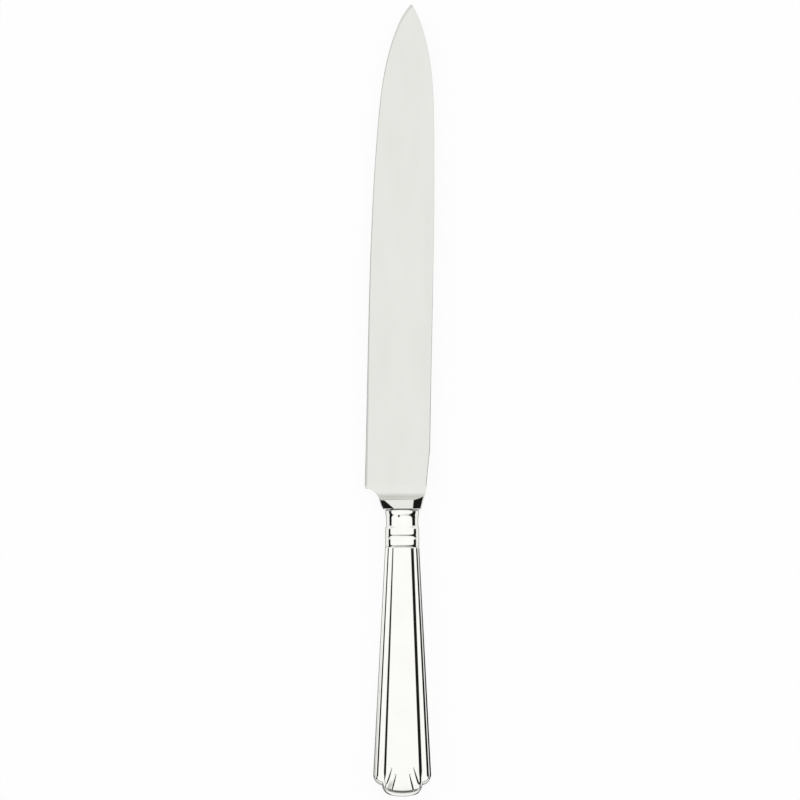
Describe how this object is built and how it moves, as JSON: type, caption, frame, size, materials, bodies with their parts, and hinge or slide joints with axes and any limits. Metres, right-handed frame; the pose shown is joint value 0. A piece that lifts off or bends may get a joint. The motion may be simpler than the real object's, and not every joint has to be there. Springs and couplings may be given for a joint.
{
  "type": "carving knife",
  "caption": "Table carving knife: a long blade with a rounded belly and a forged bolster, in a tapered hollow handle with stepped edges and a raised panel.",
  "frame": {"origin": "middle of the bounding box's lower face, with the knife lying flat on the back of its handle", "axes": "+X from the cutting edge to the spine, +Y from the butt to the tip, +Z out of the front face"},
  "size_m": [0.028, 0.32, 0.0139],
  "materials": {
    "blade_steel": "polished",
    "handle_silver": "polished",
    "solder": "satin",
    "filler_cement": "matte"
  },
  "bodies": {
    "root": {"blade": "blade_steel", "handle_front_shell": "handle_silver", "handle_back_shell": "handle_silver", "solder_seam": "solder", "handle_filler": "filler_cement"}
  },
  "joints": []
}
